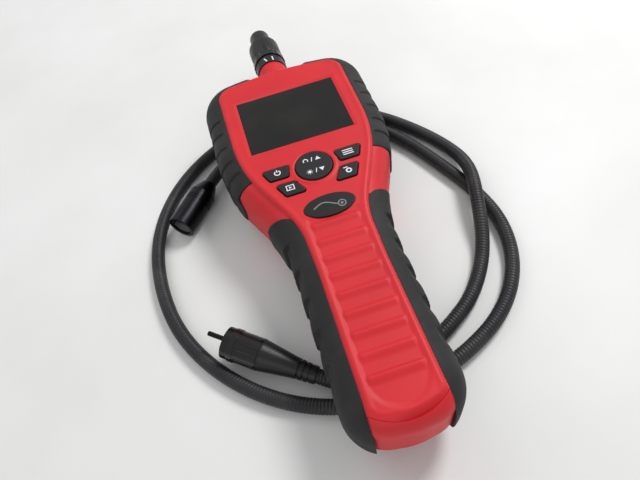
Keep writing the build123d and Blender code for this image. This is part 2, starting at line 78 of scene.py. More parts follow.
OVER = 12.6
ROUTE = [
    (-64.0, 3.2, 8.5), (-57.6, 10.9, 8.5), (-45.5, 25.5, 4), (-27, 38, 4),
    (3, 42.0, 4), (34.5, 32.5, 4), (56.5, 12.5, 4), (71, -10, 4),
    (82, -36, 4), (92, -62, 4), (96, -90, 4), (88.5, -118, 4),
    (70.5, -141, 4), (43, -156, 4), (10, -164.5, 4), (-23, -163.5, 4),
    (-54, -150, 4), (-80.5, -126, 4), (-99, -95, 4), (-106, -61, 4),
    (-104.5, -27, 4), (-92.5, 3, 4), (-71, 28, 4), (-40, 46.5, 4),
    (-5, 53.5, 4), (31, 45.5, 4), (60, 25, 4), (80.5, -1, 4),
    (93.5, -25, 4), (93.5, -51, OVER), (86.5, -75, OVER), (78, -103, 4),
    (60, -127, 4), (41, -139.5, 4), (23.2, -147.8, 4), (10, -152.5, 4),
    (-0.8, -154.4, 4), (-9.8, -154.0, 4), (-18.5, -151.9, 4.12), (-26.6, -147.9, 4.85),
    (-32.9, -143.0, 5.7),
]


def to_frame(points):
    """Handset millimetres to the frame's metres."""
    points = np.atleast_2d(np.asarray(points, float))
    return (points + (SHIFT_X, SHIFT_Y, 0.0)) / 1000.0


# ---------------------------------------------------------------- camera
EYE = (-26.37, -241.04, 208.10 + FACE_Z)
EYE_RIGHT = Vector((0.9504, -0.2830, -0.1290))
EYE_UP = Vector((0.3051, 0.7679, 0.5632))
FOCAL_PIXELS = 518.3


def make_camera():
    data = bpy.data.cameras.new("camera")
    data.sensor_width = 36.0
    data.lens = FOCAL_PIXELS * data.sensor_width / 640.0
    data.clip_start = 0.01
    camera = bpy.data.objects.new("camera", data)
    bpy.context.scene.collection.objects.link(camera)
    right = EYE_RIGHT.normalized()
    back = right.cross(EYE_UP).normalized()
    up = back.cross(right)
    turn = Matrix((right, up, back)).transposed().to_4x4()
    camera.matrix_world = Matrix.Translation(Vector(to_frame(EYE)[0])) @ turn
    bpy.context.scene.camera = camera


make_camera()


# ---------------------------------------------------------------- material building
def srgb(r, g, b):
    """An sRGB colour of 0 to 255 as linear RGBA."""
    def linear(c):
        c = c / 255.0
        return c / 12.92 if c <= 0.04045 else ((c + 0.055) / 1.055) ** 2.4
    return (linear(r), linear(g), linear(b), 1.0)


def scaled(colour, k):
    return tuple(min(1.0, c * k) for c in colour[:3]) + (colour[3],)


class Surface:
    """A Principled material with helpers for noise, colour variation and bump."""

    def __init__(self, name, roughness=0.5, metallic=0.0, specular=0.5, coat=0.0):
        self.material = bpy.data.materials.new(name)
        self.material.use_nodes = True
        self.tree = self.material.node_tree
        self.shader = self.tree.nodes["Principled BSDF"]
        self.shader.inputs["Roughness"].default_value = roughness
        self.shader.inputs["Metallic"].default_value = metallic
        self.shader.inputs["Specular IOR Level"].default_value = specular
        self.shader.inputs["Coat Weight"].default_value = coat
        self.shader.inputs["Coat Roughness"].default_value = 0.15
        self.coordinates = self.tree.nodes.new("ShaderNodeTexCoord").outputs["Object"]
        self.normal = None

    def link(self, a, b):
        self.tree.links.new(a, b)

    def noise(self, scale, detail=4.0):
        node = self.tree.nodes.new("ShaderNodeTexNoise")
        node.inputs["Scale"].default_value = scale
        node.inputs["Detail"].default_value = detail
        self.link(self.coordinates, node.inputs["Vector"])
        return node.outputs["Fac"]

    def ramp(self, source, low, high, colour_a, colour_b):
        node = self.tree.nodes.new("ShaderNodeValToRGB")
        node.color_ramp.elements[0].position = low
        node.color_ramp.elements[1].position = high
        node.color_ramp.elements[0].color = colour_a
        node.color_ramp.elements[1].color = colour_b
        self.link(source, node.inputs["Fac"])
        return node.outputs["Color"]

    def mix(self, factor, a, b):
        node = self.tree.nodes.new("ShaderNodeMix")
        node.data_type = "RGBA"
        self.link(factor, node.inputs["Factor"])
        for value, socket in ((a, node.inputs[6]), (b, node.inputs[7])):
            if isinstance(value, tuple):
                socket.default_value = value
            else:
                self.link(value, socket)
        return node.outputs[2]

    def colour(self, source):
        self.link(source, self.shader.inputs["Base Color"])

    def rough(self, source, low, high):
        node = self.tree.nodes.new("ShaderNodeMapRange")
        node.inputs["To Min"].default_value = low
        node.inputs["To Max"].default_value = high
        self.link(source, node.inputs["Value"])
        self.link(node.outputs["Result"], self.shader.inputs["Roughness"])

    def bump(self, source, distance):
        node = self.tree.nodes.new("ShaderNodeBump")
        node.inputs["Strength"].default_value = 1.0
        node.inputs["Distance"].default_value = distance
        self.link(source, node.inputs["Height"])
        if self.normal is not None:
            self.link(self.normal, node.inputs["Normal"])
        self.normal = node.outputs["Normal"]
        self.link(self.normal, self.shader.inputs["Normal"])


def moulded(name, colour, roughness, grain=0.00003, scale=2500.0, coat=0.0, spread=0.10):
    """Moulded plastic or rubber: faint mottling, fine grain and a little uneven gloss."""
    s = Surface(name, roughness, specular=0.35, coat=coat)
    cloud = s.noise(40.0, 5.0)
    s.colour(s.ramp(cloud, 0.3, 0.7, scaled(colour, 1 - spread), scaled(colour, 1 + spread)))
    s.rough(s.noise(160.0, 3.0), roughness - 0.06, roughness + 0.08)
    s.bump(s.noise(scale, 2.0), grain)
    return s.material


def dusty(name, colour, roughness, dust, amount, grain, scale):
    """Rubber that holds a thin, patchy film of pale dust."""
    s = Surface(name, roughness, specular=0.35)
    film = s.ramp(s.noise(55.0, 6.0), 0.45, 0.8, (0, 0, 0, 1), (amount, amount, amount, 1))
    s.colour(s.mix(film, colour, dust))
    s.rough(s.noise(300.0, 3.0), roughness - 0.05, roughness + 0.1)
    s.bump(s.noise(scale, 3.0), grain)
    return s.material


def metal(name, colour, roughness):
    """Plated or anodised metal with slightly uneven colour and gloss."""
    s = Surface(name, roughness, metallic=1.0)
    s.colour(s.ramp(s.noise(200.0, 4.0), 0.3, 0.7, scaled(colour, 0.85), scaled(colour, 1.1)))
    s.rough(s.noise(900.0, 2.0), roughness - 0.05, roughness + 0.08)
    s.bump(s.noise(1500.0, 2.0), 0.00001)
    return s.material


RED = srgb(208, 36, 44)
CHARCOAL = srgb(36, 36, 37)

MATERIALS = {
    "red_shell": moulded("red_abs", RED, 0.5, 0.00003, 2600.0, spread=0.06),
    "rubber_overmould": dusty("charcoal_rubber", CHARCOAL, 0.66, srgb(74, 72, 70), 0.3, 0.0001, 1500.0),
    "black_key": moulded("key_silicone", srgb(28, 27, 29), 0.55, 0.00002, 3000.0),
    "black_plastic": moulded("satin_black_plastic", srgb(32, 32, 34), 0.38, 0.00002, 2400.0),
    "lock_ring": moulded("gloss_black_plastic", srgb(20, 20, 22), 0.2, 0.00001, 1500.0, coat=0.4),
    "badge": moulded("badge_lacquer", srgb(22, 21, 22), 0.45),
    "gasket": moulded("black_foam", srgb(24, 24, 24), 0.85, 0.0001, 900.0),
    "circuit_board": moulded("green_solder_mask", srgb(28, 84, 48), 0.35, 0.00003, 700.0, coat=0.3),
    "keypad": moulded("grey_silicone", srgb(150, 150, 152), 0.6),
    "white_mark": moulded("white_print", srgb(226, 228, 232), 0.55, 0.00001, 1500.0, spread=0.03),
    "inner_plastic": moulded("inner_abs", srgb(62, 62, 65), 0.5),
    "contact": metal("gold_plate", srgb(226, 190, 110), 0.25),
    "spring_steel": metal("nickel_plate", srgb(190, 190, 188), 0.28),
    "screw": metal("zinc_plate", srgb(178, 180, 184), 0.35),
    "socket_metal": metal("anodised_socket", srgb(60, 60, 63), 0.35),
    "nut": metal("plain_brass", srgb(200, 165, 95), 0.35),
    "insulator": moulded("glass_filled_nylon", srgb(40, 40, 42), 0.6, 0.00006, 1400.0),
    "oring": moulded("nitrile_rubber", srgb(26, 26, 27), 0.55),
    "cell": moulded("cell_jacket", srgb(70, 72, 78), 0.3, 0.00001, 900.0, coat=0.3),
    "gooseneck": dusty("gooseneck_vinyl", srgb(38, 38, 41), 0.42, srgb(110, 108, 106), 0.2,
                       0.00003, 2600.0),
    "head_metal": metal("anodised_head", srgb(46, 46, 49), 0.3),
    "camera_black": moulded("camera_black", srgb(18, 18, 20), 0.4),
    "lamp": moulded("led_lens", srgb(235, 232, 205), 0.15, 0.000005, 600.0, coat=0.5),
    "display": moulded("unlit_display", srgb(34, 35, 38), 0.3, 0.00001, 500.0),
}


def screen_glass():
    """A smoked pane over an unlit display, with a faint film of smudges."""
    s = Surface("smoked_glass", 0.14, specular=0.3)
    smudge = s.ramp(s.noise(35.0, 5.0), 0.45, 0.75, srgb(31, 31, 30), srgb(41, 40, 38))
    s.colour(smudge)
    s.rough(s.noise(60.0, 4.0), 0.12, 0.3)
    s.bump(s.noise(30.0, 2.0), 0.00002)
    return s.material


def head_glass():
    s = Surface("dark_lens_glass", 0.05, specular=0.7)
    s.shader.inputs["Transmission Weight"].default_value = 0.35
    s.colour(s.ramp(s.noise(90.0), 0.3, 0.7, srgb(34, 36, 40), srgb(44, 46, 50)))
    s.bump(s.noise(50.0, 1.0), 0.00001)
    return s.material


MATERIALS["screen_glass"] = screen_glass()
MATERIALS["head_glass"] = head_glass()

SLOT_OF = {s["node"]: s["material_slot"] for s in frame["record"]["subparts"]}


# ---------------------------------------------------------------- mesh building
SMOOTH_ANGLE = math.radians(34)


def finish_mesh(mesh, angle=SMOOTH_ANGLE):
    mesh.validate()
    mesh.polygons.foreach_set("use_smooth", [True] * len(mesh.polygons))
    mesh.set_sharp_from_angle(angle=angle)
    mesh.update()


def build_object(name, vertices, faces, weld=None):
    """An object from handset millimetres; faces turned outwards, doubled points welded."""
    mesh = bpy.data.meshes.new(name)
    mesh.from_pydata(to_frame(vertices).tolist(), [], [tuple(f) for f in faces])
    bm = bmesh.new()
    bm.from_mesh(mesh)
    if weld:
        bmesh.ops.remove_doubles(bm, verts=bm.verts, dist=weld / 1000.0)
    bmesh.ops.recalc_face_normals(bm, faces=bm.faces)
    bm.to_mesh(mesh)
    bm.free()
    piece = bpy.data.objects.new(name, mesh)
    bpy.context.scene.collection.objects.link(piece)
    return piece


def dress(piece, slot_name, body, *replaced, angle=SMOOTH_ANGLE):
    """Give a piece its material, its body and the CAD nodes that it stands for."""
    finish_mesh(piece.data, angle)
    piece.data.materials.clear()
    piece.data.materials.append(MATERIALS[slot_name])
    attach(piece, body)
    if replaced:
        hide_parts(*replaced)
    return piece


def boolean(piece, cutters, operation):
    """Apply one boolean per cutter and drop the cutters."""
    for cutter in cutters:
        modifier = piece.modifiers.new("cut", "BOOLEAN")
        modifier.operation = operation
        modifier.solver = "EXACT"
        modifier.object = cutter
    bpy.context.view_layer.update()
    depsgraph = bpy.context.evaluated_depsgraph_get()
    result = bpy.data.meshes.new_from_object(piece.evaluated_get(depsgraph))
    piece.modifiers.clear()
    piece.data = result
    for cutter in cutters:
        bpy.data.objects.remove(cutter)
    return piece


def grid_faces(rows, columns, closed_rows=False, closed_columns=False):
    faces = []
    for i in range(rows if closed_rows else rows - 1):
        for j in range(columns if closed_columns else columns - 1):
            i2 = (i + 1) % rows
            j2 = (j + 1) % columns
            faces.append((i * columns + j, i * columns + j2, i2 * columns + j2, i2 * columns + j))
    return faces


def prism(outline, z0, z1, top_outline=None):
    """A closed prism; with top_outline the sides lean from one outline to the other."""
    top = outline if top_outline is None else top_outline
    n = len(outline)
    vertices = [(x, y, z0) for x, y in outline] + [(x, y, z1) for x, y in top]
    faces = [tuple(range(n))[::-1], tuple(range(n, 2 * n))]
    faces += [(i, (i + 1) % n, n + (i + 1) % n, n + i) for i in range(n)]
    return build_object("cutter", vertices, faces)


def rectangle(x0, x1, y0, y1):
    return [(x0, y0), (x1, y0), (x1, y1), (x0, y1)]


def circle(cx, cy, rx, ry=None, count=96):
    ry = rx if ry is None else ry
    turns = [2 * math.pi * i / count for i in range(count)]
    return [(cx + rx * math.cos(a), cy + ry * math.sin(a)) for a in turns]


# ---------------------------------------------------------------- outlines and distances
def rounded_outline(corners, radii, step=1.0):
    """Points along a closed polygon with rounded corners, evenly spaced."""
    corners = [np.array(c, float) for c in corners]
    n = len(corners)
    path = []
    for i, corner in enumerate(corners):
        before = corners[i - 1] - corner
        after = corners[(i + 1) % n] - corner
        a = before / np.linalg.norm(before)
        b = after / np.linalg.norm(after)
        half = math.acos(np.clip(a @ b, -1, 1)) / 2
        reach = radii[i] / math.tan(half)
        middle = corner + (a + b) / np.linalg.norm(a + b) * radii[i] / math.sin(half)
        start = corner + a * reach - middle
        sweep = math.pi - 2 * half
        turn = sweep if start[1] * a[0] - start[0] * a[1] > 0 else -sweep
        count = max(2, int(radii[i] * sweep / step))
        for k in range(count + 1):
            c = math.cos(turn * k / count)
            s = math.sin(turn * k / count)
            path.append(middle + (c * start[0] - s * start[1], s * start[0] + c * start[1]))
    return resample(np.array(path), step)


def resample(path, step):
    closed = np.vstack([path, path[:1]])
    gaps = np.linalg.norm(np.diff(closed, axis=0), axis=1)
    keep = np.r_[True, gaps > 1e-6]
    closed = closed[keep]
    s = np.r_[0, np.cumsum(np.linalg.norm(np.diff(closed, axis=0), axis=1))]
    count = int(round(s[-1] / step))
    at = np.arange(count) * s[-1] / count
    return np.stack([np.interp(at, s, closed[:, 0]), np.interp(at, s, closed[:, 1])], 1)


def symmetric(apex_top, side, apex_bottom, r_top, r_side, r_bottom, step):
    """An outline from the top, down the right side and back up its mirror image."""
    left = [(-x, y) for x, y in reversed(side)]
    corners = [apex_top, *side, apex_bottom, *left]
    line = rounded_outline(corners, [r_top, *r_side, r_bottom, *reversed(r_side)], step / 4)
    right = line[line[:, 0] > step / 4]
    right = right[np.argsort(np.unwrap(np.arctan2(right[:, 0], right[:, 1] + 70.0)))]
    ends = [(0.0, line[:, 1].max()), (0.0, line[:, 1].min())]
    right = np.vstack([ends[0], right, ends[1]])
    s = np.r_[0, np.cumsum(np.linalg.norm(np.diff(right, axis=0), axis=1))]
    stops = np.linspace(0, s[-1], int(round(s[-1] / step)) + 1)
    right = np.stack([np.interp(stops, s, right[:, 0]), np.interp(stops, s, right[:, 1])], 1)
    return np.vstack([right, right[-2:0:-1] * (-1, 1)])


OUTLINE = symmetric((0, 58.3), [(53.0, 50.5), (52.5, -29.0), (28.8, -81.0), (28.5, -190.2)],
                    (0, -195.0), 110, [23, 100, 110, 21], 40, 0.8)
PLATEAU = symmetric((0, 46.0), [(41.0, 41.0), (40.4, -32.0), (18.2, -82.0), (17.3, -112.0),
                                (17.8, -194.0)], (0, -195.0), 110, [11, 100, 60, 200, 3], 40, 0.8)


def depth_inside(points, outline):
    """Distance to the outline, positive inside it."""
    points = np.asarray(points, float)
    a = outline
    b = np.roll(outline, -1, axis=0)
    ab = b - a
    length2 = (ab ** 2).sum(1)
    best = np.full(len(points), 1e9)
    inside = np.zeros(len(points), bool)
    for k in range(len(a)):
        ap = points - a[k]
        t = np.clip(ap @ ab[k] / length2[k], 0, 1)
        best = np.minimum(best, np.hypot(*(ap - t[:, None] * ab[k]).T))
        y0, y1 = a[k, 1], b[k, 1]
        if y0 != y1:
            crosses = (points[:, 1] >= min(y0, y1)) & (points[:, 1] < max(y0, y1))
            x = a[k, 0] + (points[:, 1] - y0) / (y1 - y0) * ab[k, 0]
            inside ^= crosses & (points[:, 0] < x)
    return np.where(inside, best, -best)


def smoothstep(low, high, value):
    """0 below low, 1 above high, and a smooth rise between them."""
    t = np.clip((value - low) / (high - low), 0, 1)
    return t * t * (3 - 2 * t)


def bump_shape(value, width):
    """A rounded hump, 1 at zero and 0 beyond the width."""
    t = np.clip(np.abs(value) / width, 0, 1)
    return 0.5 + 0.5 * np.cos(math.pi * t)


def dome(depth, radius, top):
    """The height of a face whose edge is rounded to the given radius."""
    d = np.clip(depth, 0, radius)
    return top - radius + np.sqrt(np.maximum(radius ** 2 - (radius - d) ** 2, 0))


# ---------------------------------------------------------------- the gooseneck
def route_line():
    """Points along the route's smooth line, in handset millimetres."""
    data = bpy.data.curves.new("route", "CURVE")
    data.dimensions = "3D"
    spline = data.splines.new("NURBS")
    spline.points.add(len(ROUTE) - 1)
    for point, place in zip(spline.points, to_frame(ROUTE)):
        point.co = (*place, 1.0)
    spline.order_u = 3
    spline.use_endpoint_u = True
    spline.resolution_u = 32
    holder = bpy.data.objects.new("route", data)
    bpy.context.scene.collection.objects.link(holder)
    bpy.context.view_layer.update()
    depsgraph = bpy.context.evaluated_depsgraph_get()
    mesh = bpy.data.meshes.new_from_object(holder.evaluated_get(depsgraph))
    points = np.array([v.co for v in mesh.vertices])
    bpy.data.objects.remove(holder)
    bpy.data.meshes.remove(mesh)
    return points


def even_line(points, step):
    s = np.r_[0, np.cumsum(np.linalg.norm(np.diff(points, axis=0), axis=1))]
    count = int(round(s[-1] / step))
    stops = np.linspace(0, s[-1], count + 1)
    line = np.stack([np.interp(stops, s, points[:, k]) for k in range(3)], 1)
    return line, s[-1]


def carried_frames(line):
    """A pair of side directions at each point, carried along without twist."""
    tangent = np.gradient(line, axis=0)
    tangent /= np.linalg.norm(tangent, axis=1)[:, None]
    side = np.cross(tangent[0], (0, 0, 1.0))
    side /= np.linalg.norm(side)
    sides = [side]
    for t in tangent[1:]:
        side = side - t * (side @ t)
        side = side / np.linalg.norm(side)
        sides.append(side)
    sides = np.array(sides)
    return sides, np.cross(tangent, sides)


def gooseneck():
    """The corrugated tube along the route, with its groove cut as a screw line."""
    line, length = even_line(route_line(), GROOVE_PITCH / (1000.0 * RINGS_PER_GROOVE))
    side, up = carried_frames(line)
    count = 22
    turn = np.arange(count) * 2 * math.pi / count
    run = np.arange(len(line)) * length / (len(line) - 1) * 1000.0
    phase = (run[:, None] / GROOVE_PITCH + turn[None] / (2 * math.pi)) % 1.0
    radius = CABLE_D / 2 - GROOVE_DEPTH * bump_shape(phase - 0.5, 0.24)
    radius = radius / 1000.0
    rings = line[:, None] + radius[:, :, None] * (
        np.cos(turn)[None, :, None] * side[:, None] + np.sin(turn)[None, :, None] * up[:, None])
    faces = grid_faces(len(line), count, closed_columns=True)
    faces.append(tuple(range(count)))
    faces.append(tuple(range((len(line) - 1) * count, len(line) * count)))
    mesh = bpy.data.meshes.new("gooseneck_cable")
    mesh.from_pydata(rings.reshape(-1, 3).tolist(), [], faces)
    bm = bmesh.new()
    bm.from_mesh(mesh)
    bmesh.ops.recalc_face_normals(bm, faces=bm.faces)
    bm.to_mesh(mesh)
    bm.free()
    piece = bpy.data.objects.new("gooseneck_cable", mesh)
    bpy.context.scene.collection.objects.link(piece)
    dress(piece, "gooseneck", "probe", "probe_cable", angle=math.radians(60))


gooseneck()


# ---------------------------------------------------------------- the face's relief
RIDGE_COUNT = 9
RIDGE_Y = -86.0
RIDGE_PITCH = 10.4
RIDGE_RISE = 0.95
PANEL_HALF = 14.3
PANEL_TOP_Y = -79.5
PANEL_ROUND_Y = -169.5
PANEL_DROP = 0.55
RIM_DROP = 0.3
ROCKER = (0.0, -45.8)
ROCKER_HOLE_R = 10.9
COLLAR_R = 12.0
COLLAR_RISE = 0.55
NAIL_X = 4.5
NAIL_HALF = 12.5
NAIL_DEPTH = 1.5
END_ZONE_Y = -170.0


def panel_depth(x, y):
    """Distance inside the long thumb panel, which has a rounded lower end."""
    side = PANEL_HALF - np.abs(x)
    top = PANEL_TOP_Y - y
    lower = PANEL_HALF - np.hypot(x, np.minimum(y - PANEL_ROUND_Y, 0))
    return np.minimum(np.minimum(side, top), lower)


def face_relief(x, y, depth):
    """The face's sunk panel with its ridges, and the low ring round the rocker key."""
    rim = -RIM_DROP * smoothstep(2.0, 5.0, depth)
    inside = smoothstep(-0.6, 2.0, panel_depth(x, y))
    relief = rim - PANEL_DROP * inside
    for i in range(RIDGE_COUNT):
        rise = y - (RIDGE_Y - i * RIDGE_PITCH + 1.2)
        ridge = np.where(rise > 0, bump_shape(rise, 1.9), bump_shape(rise, 4.4))
        relief = relief + RIDGE_RISE * ridge * smoothstep(0.6, 3.0, panel_depth(x, y))
    ring = np.hypot(x - ROCKER[0], y - ROCKER[1])
    return relief + COLLAR_RISE * bump_shape(ring - COLLAR_R, 1.5)


def nail_recess(x, y):
    """A thumb recess in the shell's edge, deepest right of the middle of the seam."""
    wide = np.clip(1 - ((x - NAIL_X) / NAIL_HALF) ** 2, 0, 1)
    above = SEAM_R - np.hypot(x, y - SEAM_CENTRE_Y)
    fall = 1 - smoothstep(0.2, 0.9 + 2.9 * wide, above)
    return NAIL_DEPTH * wide * fall * (y < END_ZONE_Y)


def front_height(points, recess=True):
    """The red shell's front, with the raised face standing out of it."""
    shell_depth = depth_inside(points, OUTLINE) - RUBBER
    depth = depth_inside(points, PLATEAU)
    x, y = points[:, 0], points[:, 1]
    shell = dome(shell_depth, SHELL_R, SHELL_TOP)
    face = dome(depth, PLATEAU_R, FACE_Z) + face_relief(x, y, depth) * (depth > 0)
    end = dome(shell_depth, END_R, FACE_Z)
    face = np.where(y < END_ZONE_Y, np.minimum(face, end), face)
    if recess:
        face = face - nail_recess(x, y)
    face = np.where(depth > 0, face, -1e3)
    blend = 0.35
    gap = np.clip(0.5 + 0.5 * (face - shell) / blend, 0, 1)
    return shell * (1 - gap) + face * gap + blend * gap * (1 - gap)


SPINE_ENDS = (-166.0, 20.0)


def outline_frames(outline):
    """Outward normals and, for each point, its partner on the middle line."""
    ahead = np.roll(outline, -1, axis=0) - np.roll(outline, 1, axis=0)
    normal = np.stack([ahead[:, 1], -ahead[:, 0]], 1)
    normal /= np.linalg.norm(normal, axis=1)[:, None]
    probe = outline + normal * 0.01
    if (depth_inside(probe[:1], outline) > 0)[0]:
        normal = -normal
    spine = np.stack([np.zeros(len(outline)), np.clip(outline[:, 1], *SPINE_ENDS)], 1)
    return normal, spine


NORMAL, SPINE = outline_frames(OUTLINE)


def crossing(start, goal, outline):
    """How far from start towards goal the outline is first crossed."""
    reach = np.linalg.norm(goal - start, axis=1)
    direction = (goal - start) / reach[:, None]
    low = np.zeros(len(start))
    high = reach * 0.98
    for _ in range(14):
        middle = (low + high) / 2
        inside = depth_inside(start + direction * middle[:, None], outline) > 0
        high = np.where(inside, middle, high)
        low = np.where(inside, low, middle)
    return high, direction, reach


EDGE_STEPS = (0.0, 0.15, 0.35, 0.6, 0.9, 1.3, 1.8, 2.4, 2.9, 3.4, 3.9, 4.4)
INNER_RINGS = 44


def front_rings(shell_line):
    """Rings of points from the shell's side, up over its edge and in to the spine."""
    edge, direction, reach = crossing(shell_line, SPINE, PLATEAU)
    rings = []
    for a in np.linspace(0.08, 1, 11):
        short = edge * (1 - math.cos(a * math.pi / 2)) * 0.985
        rings.append(shell_line + direction * short[:, None])
    for extra in EDGE_STEPS:
        rings.append(shell_line + direction * np.minimum(edge + extra, reach * 0.9)[:, None])
    last = np.minimum(edge + EDGE_STEPS[-1], reach * 0.9)
    for k in range(1, INNER_RINGS + 1):
        rings.append(shell_line + direction * (last + (reach - last) * k / INNER_RINGS)[:, None])
    return rings


def back_layers(shell_line, radius, low):
    """Rings from the shell's side down over the back's rounded edge."""
    layers = []
    for a in np.linspace(0, 1, 12):
        turn = a * math.pi / 2
        ring = shell_line - NORMAL * radius * (1 - math.cos(turn))
        layers.append(np.c_[ring, np.full(len(ring), low + radius * (1 - math.sin(turn)))])
    return layers


def ring_body(name, layers, weld=None):
    """A closed solid from rings of equal length: flat below, closed or welded above."""
    count = len(layers[0])
    faces = grid_faces(len(layers), count, closed_columns=True)
    faces.append(tuple(range(count)))
    if weld is None:
        top = (len(layers) - 1) * count
        faces.append(tuple(range(top, top + count)))
    return build_object(name, np.vstack(layers), faces, weld)


def full_body():
    """Both shells' outer form as one solid, for the end cap."""
    shell_line = OUTLINE - NORMAL * RUBBER
    layers = back_layers(shell_line, BACK_SHELL_R, BACK_Z)[::-1]
    for z in np.linspace(BACK_Z + BACK_SHELL_R, SHELL_TOP - SHELL_R, 8)[1:]:
        layers.append(np.c_[shell_line, np.full(len(shell_line), z)])
    for ring in front_rings(shell_line):
        layers.append(np.c_[ring, front_height(ring, recess=False)])
    return ring_body("full_body", layers, weld=0.02)


BOX_Z = 28.4
BOX_END_Y = -181.5
PASSAGE = (16.0, 14.9)
SPIGOT = (15.7, 14.6)
SPIGOT_HOLE = (14.2, 13.3)
PAST_END_Y = -205.0


def box_prism(half_sizes, y0, y1):
    """A block centred on the battery box, from y0 to y1."""
    x, z = half_sizes
    return prism(rectangle(-x, x, y0, y1), BOX_Z - z, BOX_Z + z)


def cavity_body(z0):
    """The hollow inside the front shell, closed towards the battery passage."""
    line = OUTLINE - NORMAL * (RUBBER + WALL)
    layers = [np.c_[line, np.full(len(line), z0)]]
    for a in np.linspace(0, 1, 12):
        turn = a * math.pi / 2
        ring = line - NORMAL * CAVITY_R * (1 - math.cos(turn))
        layers.append(np.c_[ring, np.full(len(ring), CAVITY_TOP - CAVITY_R * (1 - math.sin(turn)))])
    for layer in layers:
        layer[:, 1] = np.maximum(layer[:, 1], BOX_END_Y)
    return ring_body("cavity", [layer[::3] for layer in layers])


def cap_zone(half, radius):
    """The space past the curved seam, where the end cap is."""
    turns = np.linspace(1, -1, 61) * math.asin(half / radius)
    arc = [(radius * math.sin(a), SEAM_CENTRE_Y - radius * math.cos(a)) for a in turns]
    return prism(arc + [(-half, PAST_END_Y), (half, PAST_END_Y)], 0, CAP_ZONE_TOP)


NECK_R = 10.0
NECK_ROOT_R = 15.0
NECK_ENDS = (50.0, 62.0)


def neck_half(z0):
    """The upper half of the neck: a cone at its sides and a smooth flare on top."""
    turns = np.linspace(0, math.pi, 49)
    upright = smoothstep(0, 0.7, np.sin(turns))
    layers = []
    for y in (46.0, *np.linspace(*NECK_ENDS, 16), 65.0, 67.9, 68.15, 68.3):
        side = np.clip(NECK_ROOT_R - 0.625 * (y - 53.0), NECK_R, NECK_ROOT_R)
        above = NECK_R + 0.0347 * (NECK_ENDS[1] - np.clip(y, *NECK_ENDS)) ** 2
        chamfer = np.interp(y, [67.9, 68.15, 68.3], [0, 0.1, 0.35])
        r = side + (above - side) * upright - chamfer
        z = np.maximum(PART_Z + r * np.sin(turns), z0)
        layers.append(np.c_[r * np.cos(turns), np.full(49, y), z])
    return ring_body("neck", layers)


def cylinder_y(radius, y0, y1):
    """A cylinder about the neck's axis."""
    count = 64
    turns = np.arange(count) * 2 * math.pi / count
    layers = []
    for y in (y0, y1):
        layers.append(np.c_[radius * np.cos(turns), np.full(count, y),
                            PART_Z + radius * np.sin(turns)])
    return ring_body("cutter", layers)


UPPER_KEY = [(12.8, -39.6), (28.7, -39.6), (25.4, -47.9), (14.9, -47.9)]
LOWER_KEY = [(13.1, -52.0), (23.6, -52.0), (19.5, -61.2), (8.1, -61.2)]
KEY_CORNER_R = 1.2
KEY_GAP = 0.35


def key_holes():
    """A hole with a bevelled lip for each of the four keys."""
    holes = []
    for corners in (UPPER_KEY, LOWER_KEY):
        line = rounded_outline(corners, [KEY_CORNER_R] * 4, 0.25)
        normal, _ = outline_frames(line)
        grown = line + normal * KEY_GAP
        lip = line + normal * (KEY_GAP + 0.45)
        for side in (1, -1):
            turned = [(side * x, y) for x, y in grown]
            wide = [(side * x, y) for x, y in lip]
            holes.append(prism(turned, CAVITY_TOP - 2, FACE_Z + 2))
            holes.append(prism(turned, FACE_Z - 0.75, FACE_Z - 0.3, wide))
    return holes


WINDOW = (61.8, 46.4)


def window_outline(grow):
    w = WINDOW[0] / 2 + grow
    h = WINDOW[1] / 2 + grow
    return rectangle(-w, w, -h, h)


def window_cutters():
    """The pane's seat, the opening inside its ledge, and the bevel round it."""
    pane = prism(window_outline(0.08), FACE_Z - 2.8, FACE_Z + 1)
    ledge = prism(window_outline(-1.4), CAVITY_TOP - 2, FACE_Z)
    bevel = prism(window_outline(0.3), FACE_Z - 1.2, FACE_Z + 0.05, window_outline(2.3))
    return [pane, ledge, bevel]


WAIST = [(20, -42.7), (44.4, -42.7), (44.0, -46.1), (62, -46.1), (62, -67.4),
         (36.0, -67.4), (31.0, -69.9), (26.2, -71.9), (20, -75.5)]
WAIST_DEPTH = 21.0


def waist(z0, side):
    """Between bumper and grip the shell stands nearly level with the rubber."""
    line = OUTLINE - NORMAL * WAIST_INSET
    line = line[(line[:, 0] * side > 16) & (line[:, 1] > -84) & (line[:, 1] < -34)]
    line = line[np.argsort(line[:, 1])]
    radius = SHELL_R + 1.0
    top = SHELL_TOP + 0.6
    layers = []
    for a in np.linspace(0, 1, 14):
        inset = radius * (1 - math.cos(a * math.pi / 2))
        height = top - radius * (1 - math.sin(a * math.pi / 2))
        layers.append(np.c_[line - [side * inset, 0], np.full(len(line), height)])
    rows = [np.c_[line, np.full(len(line), z0)], *layers,
            np.c_[line - [side * WAIST_DEPTH, 0], np.full(len(line), top)],
            np.c_[line - [side * WAIST_DEPTH, 0], np.full(len(line), z0)]]
    count = len(line)
    faces = grid_faces(len(rows), count, closed_rows=True)
    faces += [tuple(k * count for k in range(len(rows))),
              tuple(k * count + count - 1 for k in range(len(rows)))]
    body = build_object("waist", np.vstack(rows), faces)
    zone = prism([(side * x, y) for x, y in WAIST], z0 - 5, FACE_Z + 5)
    return boolean(body, [zone], "INTERSECT")


BADGE = (0.0, -74.9)
BADGE_RADII = (14.0, 7.2)
SOCKET_BORE_R = 7.1
PARTING_GAP = 0.07
PARTING_GROOVE = 0.25
SHELL_SMOOTH = math.radians(40)


